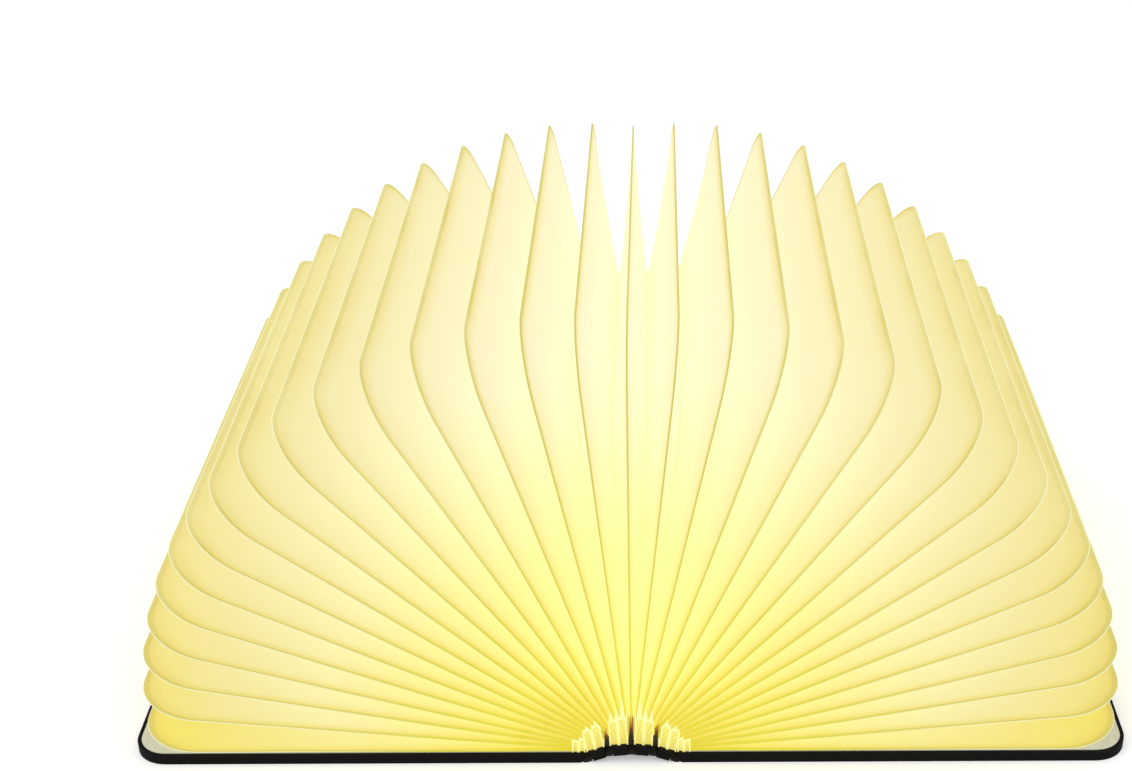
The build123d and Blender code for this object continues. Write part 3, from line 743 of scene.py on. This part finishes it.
def gatherPiece(side, bend):
    # loops side by side on the slat, each an arch of paper round a recessed fold of the next
    # layer; a point near the bend turns only as far as it leans
    name, width, height = gather["sizes"][bend["place"]]
    half = (width - gather["inset"]) / gather["loops"] / 2
    points, faces, tall, inLoop = [], [], [], []
    for loop in range(gather["loops"]):
        centre, top = gather["inset"] + (2 * loop + 1) * half, height * (1 - gather["loopDrop"] * loop)
        outer, inner, core = (archOutline(centre, half * gather["loopFill"] - shrink, top - shrink)
                              for shrink in (0.0, gather["wall"], gather["coreShrink"]))
        arch = np.concatenate([outer, inner[::-1]])
        for flat, back, inside in ((arch, 0.0, 0.0), (core, gather["coreBack"], 1.0)):
            ring, walls = alongSpine(side, standing(flat, bend["at"], bend["after"]), gather["inside"],
                                     gather["outside"] - back, gather["rows"])
            offset = sum(len(part) for part in points)
            faces += [[index + offset for index in face] for face in walls]
            points.append(ring)
            tall.append(np.tile(flat[:, 1] / height, len(ring) // len(flat)))
            inLoop.append(np.full(len(ring), inside))
    points = np.concatenate(points)
    shades = {"heightShare": np.concatenate(tall), "insideLoop": np.concatenate(inLoop)}
    piece = meshPiece(f"{name}.{sideWord[side]}", points, faces, gatheredPaper, shades, smooth=False)
    shareByLean(piece, points, bend, side)


gatheredPaper = gatherPaperFinish()
for side in sideWord:
    for bend in bends:
        gatherPiece(side, bend)
print("paper gathered at the spine")

# Strips on the spine's inner face, the cloth lining and the flat lead: one piece for each bend,
# split at the middle of each slat
strip = dict(steps=17, plainRows=5, bendHalf=1.6)
# The lining is tucked down between the slat ends, in rows that are close together near its ends
lining = dict(reach=3.5, span=(-106.0, 106.0), thickness=0.08, lift=0.05,
              tuck=3.55, tuckReach=1.4, tuckSteepness=4.0, tuckLength=11.0, tuckFade=1.5, tuckHalf=2.1,
              endRun=14.0, endRows=12, middleRows=13, rowGap=2.0)
bookCloth = dict(threads=700.0, waver=0.4, tints=tints((0.0, 8, 8, 8), (1.0, 34, 33, 32)), roughness=0.85,
                 sheen=0.15, bumpStrength=0.5, bumpHeight=0.0001)


def clothFinish():
    # woven: bands across times bands along
    finish, tree, shader = newFinish("blackBookCloth")
    waves = {"Vector": objectPlace(tree), "Scale": bookCloth["threads"], "Distortion": bookCloth["waver"]}
    bands = [addNode(tree, "ShaderNodeTexWave", {"wave_type": "BANDS", "bands_direction": axis}, waves)
             for axis in "XY"]
    weave = product(tree, bands[0].outputs["Fac"], bands[1].outputs["Fac"])
    setInputs(tree, shader, Base_Color=ramp(tree, weave, bookCloth["tints"]),
              Roughness=bookCloth["roughness"], Sheen_Weight=bookCloth["sheen"])
    bump(tree, shader, weave, bookCloth["bumpStrength"], bookCloth["bumpHeight"])
    return finish


def liftedLine(lift, end):
    # the board's inner face, lifted, from the middle outwards: it turns half-way between slopes
    above = fan["board"] / 2 + lift
    points = [(0.0, middleBend[1] + above / math.cos(innerTilt))]
    for bend in bends[1:]:
        half = (bend["after"] - bend["before"]) / 2
        points.append(bend["at"] + above / math.cos(half) * upwards(bend["before"] + half))
    return np.array([*points, (end, fan["board"] + lift)])


def runsOf(line):
    # the line split at the middle of each slat, one run for each bend
    inner, outer = (line[0] + line[1]) / 2, (line[1] + line[2]) / 2
    return [[line[0], inner], [inner, line[1], outer], [outer, *line[2:]]]


def tuckedRows(half, section, at):
    # rows along the lining, and how far each point is in the gap between slat ends: full near the
    # ends of the lining and close to the bend line, falling to nothing over short slopes
    endRun, rowGap = lining["endRun"], lining["rowGap"]
    rows = np.concatenate([
        np.linspace(-half, endRun - half, lining["endRows"]),
        np.linspace(endRun + rowGap - half, half - endRun - rowGap, lining["middleRows"]),
        np.linspace(half - endRun, half, lining["endRows"]),
    ])
    nearEnd = np.clip((np.abs(rows) - half + lining["tuckLength"]) / lining["tuckFade"], 0, 1)
    nearBend = np.clip(1 - np.abs(section[:, 0] - at[0]) / lining["tuckHalf"], 0, 1)
    return rows, nearEnd[:, None] * np.minimum(1, lining["tuckSteepness"] * nearBend)


def stripPiece(name, line, lengths, thickness, finish, bend, side, tucked=False):
    # flat strip: the line, cut into short steps, carried along the spine, then given a thickness
    parts = [np.linspace(*pair, strip["steps"])[(1 if index else 0):]
             for index, pair in enumerate(zip(line[:-1], line[1:]))]
    section = np.concatenate(parts)
    half, middle = (lengths[1] - lengths[0]) / 2, (lengths[1] + lengths[0]) / 2
    rows, inGap = np.linspace(-half, half, strip["plainRows"]), 0.0
    if tucked:
        rows, inGap = tuckedRows(half, section, bend["at"])
    along = rows[:, None] + middle + np.sign(rows)[:, None] * lining["tuckReach"] * inGap
    height = section[:, 1] - lining["tuck"] * inGap
    grid = np.stack(np.broadcast_arrays(side * section[:, 0], along, height), axis=-1) * mm
    faces = gridFaces(*grid.shape[:2])
    piece = meshPiece(name, grid.reshape(-1, 3), faces if side < 0 else faces[:, ::-1], finish)
    thicken(piece, "clothThickness", thickness)
    reach, (x, z) = strip["bendHalf"] * mm, bend["at"] * mm
    start, end = (x - reach, x + reach) if x > 0 else (0.0, 2 * reach)
    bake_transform(piece, *bodiesOf(bend, side), start=(side * start, 0, z), end=(side * end, 0, z))
    return piece


liningCloth = clothFinish()
liningRuns = runsOf(liftedLine(lining["lift"], coverBend[0] + lining["reach"]))
for side, word in sideWord.items():
    for bend, run in zip(bends, liningRuns):
        piece = stripPiece(f"lining{bend['place']}.{word}", run, lining["span"], lining["thickness"],
                           liningCloth, bend, side, tucked=True)
        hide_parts("spine_lining")

# Painted shade: upright dark strips, textured like cloth, in the slots between the gathers, where the view
# runs into the dark inside of the fan; their upper part is painted with a glow, as it lets the light behind
# through
shadeStrip = dict(
    half=0.75, waistHalf=0.9, topHalf=0.6, waistHeight=0.4, foot=0.05, topPoints=9,
    inside=91.5, outside=106.35, rows=9, height=9.5, sideHeights={-1: 6.0, 1: 8.5},
    slotShadeTints=tints((0.3, 8, 7, 6), (0.7, 24, 20, 16)), weave=dict(scale=1800.0, detail=3),
    slotGlowTints=tints((0.0, 0, 0, 0), (0.4, 12, 4, 0), (0.7, 104, 52, 4), (1.0, 214, 150, 34)), glow=0.8,
    roughness=0.85, bumpStrength=0.3, bumpHeight=0.0001,
)


def shadeStripFinish():
    finish, tree, shader = newFinish("slotShadeAndGlow")
    weave = noise(tree, objectPlace(tree), **shadeStrip["weave"])
    # painted glow of the light behind, from black at the foot to orange at the top
    shine = ramp(tree, attribute(tree, "heightShare"), shadeStrip["slotGlowTints"])
    setInputs(tree, shader, Base_Color=ramp(tree, weave, shadeStrip["slotShadeTints"]), Emission_Color=shine,
              Emission_Strength=shadeStrip["glow"], Roughness=shadeStrip["roughness"])
    bump(tree, shader, weave, shadeStrip["bumpStrength"], shadeStrip["bumpHeight"])
    return finish


def shadeStripPiece(name, side, at, tilt, height):
    # outline from the left foot, in to the waist, over a soft top and down, carried along the spine
    half = shadeStrip["half"]
    angle = np.linspace(0, np.pi, shadeStrip["topPoints"])
    top = np.stack([-shadeStrip["topHalf"] * half * np.cos(angle), height - half + half * np.sin(angle)], axis=1)
    left = np.array([(-half, shadeStrip["foot"]), (-shadeStrip["waistHalf"] * half, shadeStrip["waistHeight"] * height)])
    flat = np.concatenate([left, top, left[::-1] * (-1, 1)])
    section = standing(flat, at, tilt)
    points, faces = alongSpine(side, section, shadeStrip["inside"], shadeStrip["outside"], shadeStrip["rows"])
    shades = {"heightShare": np.tile(flat[:, 1] / height, len(points) // len(flat))}
    return meshPiece(name, points, faces, shadeStripMaterial, shades, smooth=False), points


shadeStripMaterial = shadeStripFinish()
piece, _ = shadeStripPiece("paintedSlotShade.middle", 1, middleBend, 0.0, shadeStrip["height"])
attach(piece, "root")
for side, word in sideWord.items():
    piece, points = shadeStripPiece(f"paintedSlotShade.{word}", side, slatBend, (innerTilt + outerTilt) / 2,
                              shadeStrip["sideHeights"][side])
    shareByLean(piece, points, bends[1], side)
print("spine lined")

# Flat lead from the light bar over the right slats, down to the circuit board
flatLead = dict(thickness=0.06, drawn=0.9, lift=0.105, startShift=(0.6, -0.05), dropGap=0.05)
leadLow, leadHigh = (np.array(corner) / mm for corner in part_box("led_flex"))
leadEnd = leadHigh[0] - flatLead["thickness"] / 2
leadLine = liftedLine(flatLead["lift"] + flatLead["thickness"] / 2, leadEnd)
leadRuns = runsOf(np.vstack([leadLine, (leadEnd, leadLow[2] + flatLead["dropGap"])]))
leadRuns[0][0] = leadRuns[0][0] + flatLead["startShift"]
amberFilm = madeFinish("amberFilm", pale=(186, 116, 40), deep=(150, 88, 26), roughness=0.3, grain=300.0)
for bend, run in zip(bends, leadRuns):
    piece = stripPiece(f"flatLead{bend['place']}", run, (leadLow[1], leadHigh[1]),
                       flatLead["thickness"] * flatLead["drawn"], amberFilm, bend, 1)
    if bend["place"] == "Cover":
        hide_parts("led_flex")
print("flat lead laid")

# Battery lead: two insulated cores side by side, from the battery's end down to the board's window
cores = dict(radius=0.42, apart=0.45, sides=10, leadHalf=0.8, straight=4.0, down=10.0, turn=2.0,
             overFloor=0.55, stations=61, softening=6, levelEnough=0.2, roughness=0.4)


def leadPath():
    # corners joined by straight runs, then softened by averaging each point with its neighbours
    low, high = (np.array(corner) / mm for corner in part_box("battery_lead"))
    x, _, height = sum(np.array(corner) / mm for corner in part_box("battery")) / 2
    y, windowX, windowY = low[1], high[0] - cores["leadHalf"], high[1] - cores["leadHalf"]
    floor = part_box("right_pastedown")[1][2] / mm + cores["overFloor"]
    corners = np.array([
        (x, y, height), (x, y + cores["straight"], height), (x, y + cores["down"], floor),
        (windowX, windowY - cores["turn"], floor), (windowX, windowY, floor), (windowX, windowY, low[2]),
    ])
    steps = np.linspace(0, len(corners) - 1, cores["stations"])
    path = np.stack([np.interp(steps, np.arange(len(corners)), axis) for axis in corners.T], axis=1)
    for _ in range(cores["softening"]):
        path[1:-1] = (path[:-2] + 2 * path[1:-1] + path[2:]) / 4
    return path


def corePiece(name, offset, finish):
    # circles carried along the path, kept level across it, and along x where it goes straight down
    path = leadPath()
    tangent = np.gradient(path, axis=0)
    tangent /= np.linalg.norm(tangent, axis=1)[:, None]
    level = np.cross(tangent, (0, 0, 1.0))
    size = np.linalg.norm(level, axis=1)[:, None]
    level = np.where(size > cores["levelEnough"], level / np.maximum(size, 1e-6), (1.0, 0, 0))
    above = np.cross(level, tangent)
    angle = np.linspace(0, 2 * np.pi, cores["sides"], endpoint=False)[:, None]
    ring = (level[:, None] * (offset + cores["radius"] * np.cos(angle))
            + above[:, None] * cores["radius"] * np.sin(angle))
    points = (path[:, None] + ring) * mm
    piece = meshPiece(name, points.reshape(-1, 3), tubeFaces(*points.shape[:2]), finish)
    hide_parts("battery_lead")
    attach(piece, bodyOf["battery_lead"])


redCore = madeFinish("coreRed", pale=(176, 30, 26), deep=(150, 22, 20), roughness=cores["roughness"])
blackCore = madeFinish("coreBlack", pale=(36, 36, 38), deep=(24, 24, 26), roughness=cores["roughness"])
corePiece("batteryCore.red", -cores["apart"], redCore)
corePiece("batteryCore.black", cores["apart"], blackCore)
print("battery lead run")

# Room: pale floor, soft studio light, and the camera at the photographed view
room = dict(
    floorHalf=12.0, floorDrop=0.00005, floorWhite=0.90, floorRoughness=0.9, floorSpecular=0.1,
    floorGlow=0.36, world=0.62, lampSize=1.6, aim=(0, 0, 0.05),
    lamps=dict(keySoftbox=dict(place=(-0.9, -0.7, 1.5), power=7.0),
               fillSoftbox=dict(place=(1.3, -0.2, 1.1), power=3.0)),
)
# Fitted to the photograph: focal length and principal point in pixels, place in millimetres
view = dict(width=1132, height=771, focal=1860.3, centre=(670.0, 440.2), place=(10.28, -632.24, 419.57),
            pitch=28.819, yaw=0.380, sensor=36.0, clip=(0.01, 50.0))


def seenShare(tree):
    # 1 for what the camera, a reflection or glass sees, 0 for light that falls on things
    ray = addNode(tree, "ShaderNodeLightPath")
    seen = calc(tree, "ADD", ray.outputs["Is Camera Ray"], ray.outputs["Is Glossy Ray"], clamp=True)
    return calc(tree, "ADD", seen, ray.outputs["Is Transmission Ray"], clamp=True)


def makeFloor():
    half = room["floorHalf"]
    points = np.array([(-half, -half, 0), (half, -half, 0), (half, half, 0), (-half, half, 0)])
    finish, tree, shader = newFinish("paleFloor")
    setInputs(tree, shader, Base_Color=(*[room["floorWhite"]] * 3, 1.0), Roughness=room["floorRoughness"],
              Specular_IOR_Level=room["floorSpecular"], Emission_Color=(1, 1, 1, 1),
              Emission_Strength=calc(tree, "MULTIPLY", seenShare(tree), room["floorGlow"]))
    floor = meshPiece("paleFloor", points - (0, 0, room["floorDrop"]), [(0, 1, 2, 3)], finish, smooth=False)


def makeWorld():
    world = bpy.data.worlds.new("studio")
    bpy.context.scene.world = world
    world.use_nodes = True
    tree = world.node_tree
    strength = calc(tree, "MULTIPLY_ADD", seenShare(tree), 1.0 - room["world"], room["world"])
    setInputs(tree, tree.nodes["Background"], Color=(1, 1, 1, 1), Strength=strength)


def softLamp(name, place, power):
    lamp = bpy.data.lights.new(name, "AREA")
    lamp.shape, lamp.size, lamp.energy = "DISK", room["lampSize"], power
    item = bpy.data.objects.new(name, lamp)
    bpy.context.scene.collection.objects.link(item)
    item.location = place
    item.rotation_mode = "QUATERNION"
    item.rotation_quaternion = Vector(np.array(place) - room["aim"]).to_track_quat("Z", "Y")


def makeCamera():
    camera = bpy.data.cameras.new("photoView")
    camera.sensor_width = view["sensor"]
    camera.lens = view["focal"] / view["width"] * view["sensor"]
    camera.shift_x = (view["width"] / 2 - view["centre"][0]) / view["width"]
    camera.shift_y = (view["centre"][1] - view["height"] / 2) / view["width"]
    camera.clip_start, camera.clip_end = view["clip"]
    item = bpy.data.objects.new("photoView", camera)
    bpy.context.scene.collection.objects.link(item)
    item.location = np.array(view["place"]) * mm
    item.rotation_euler = (math.radians(90 - view["pitch"]), 0.0, math.radians(-view["yaw"]))
    bpy.context.scene.camera = item


makeFloor()
makeWorld()
for name, lamp in room["lamps"].items():
    softLamp(name, **lamp)
makeCamera()
bpy.context.scene.view_settings.view_transform = "Standard"
print("room set")
